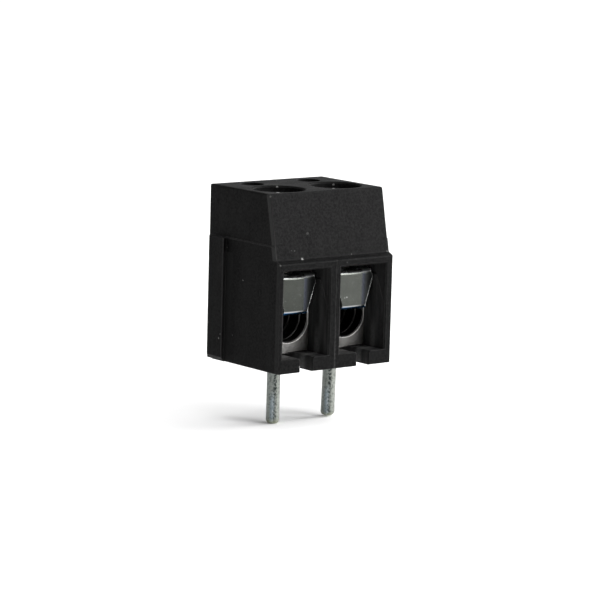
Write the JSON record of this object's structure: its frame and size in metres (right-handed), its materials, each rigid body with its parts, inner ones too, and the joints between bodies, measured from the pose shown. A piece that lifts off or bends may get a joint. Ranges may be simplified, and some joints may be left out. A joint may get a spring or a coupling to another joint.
{
  "type": "pcb screw terminal",
  "caption": "Block of screw terminals for circuit boards: wire mouths in front, slotted clamp screws on top, round solder pins below and side dovetails for stacking.",
  "frame": {"origin": "on the board plane, midway between the solder pins", "axes": "+Z away from the board, -Y towards the wire entry side, +X to the right when looking into the wire mouths"},
  "size_m": [0.0104, 0.0083, 0.0165],
  "materials": {
    "black_nylon": "matt moulded, glass-filled, faint spark-eroded grain",
    "tinned_brass": "matt tin plating over machined brass",
    "tinned_pin": "bright tin plating with mottled, slightly dull patches",
    "stainless_leaf": "rolled strip, satin",
    "zinc_screw": "zinc plated steel"
  },
  "bodies": {
    "root": {"housing": "black_nylon", "clamp_block_1": "tinned_brass", "solder_pin_1": "tinned_pin", "clamp_block_2": "tinned_brass", "solder_pin_2": "tinned_pin"},
    "guard_1": {"wire_guard_1": "stainless_leaf"},
    "screw_1": {"clamp_screw_1": "zinc_screw"},
    "guard_2": {"wire_guard_2": "stainless_leaf"},
    "screw_2": {"clamp_screw_2": "zinc_screw"}
  },
  "joints": [
    {"name": "screw_travel_1", "type": "slide", "parent": "root", "child": "guard_1", "axis": [0, 0, -1], "range_m": [0, 0.00248], "deforming": ["wire_guard_1"]},
    {"name": "screw_turn_1", "type": "hinge", "parent": "guard_1", "child": "screw_1", "pos_m": [-0.0025, 0, 0.0112], "axis": [0, 0, -1], "range_deg": [0, 1980]},
    {"name": "screw_travel_2", "type": "slide", "parent": "root", "child": "guard_2", "axis": [0, 0, -1], "range_m": [0, 0.00248], "deforming": ["wire_guard_2"]},
    {"name": "screw_turn_2", "type": "hinge", "parent": "guard_2", "child": "screw_2", "pos_m": [0.0025, 0, 0.0112], "axis": [0, 0, -1], "range_deg": [0, 1980]}
  ],
  "couplings": [
    {"joint": "screw_turn_1", "follows": "screw_travel_1", "rad_per_m": 13963},
    {"joint": "screw_turn_2", "follows": "screw_travel_2", "rad_per_m": 13963}
  ]
}
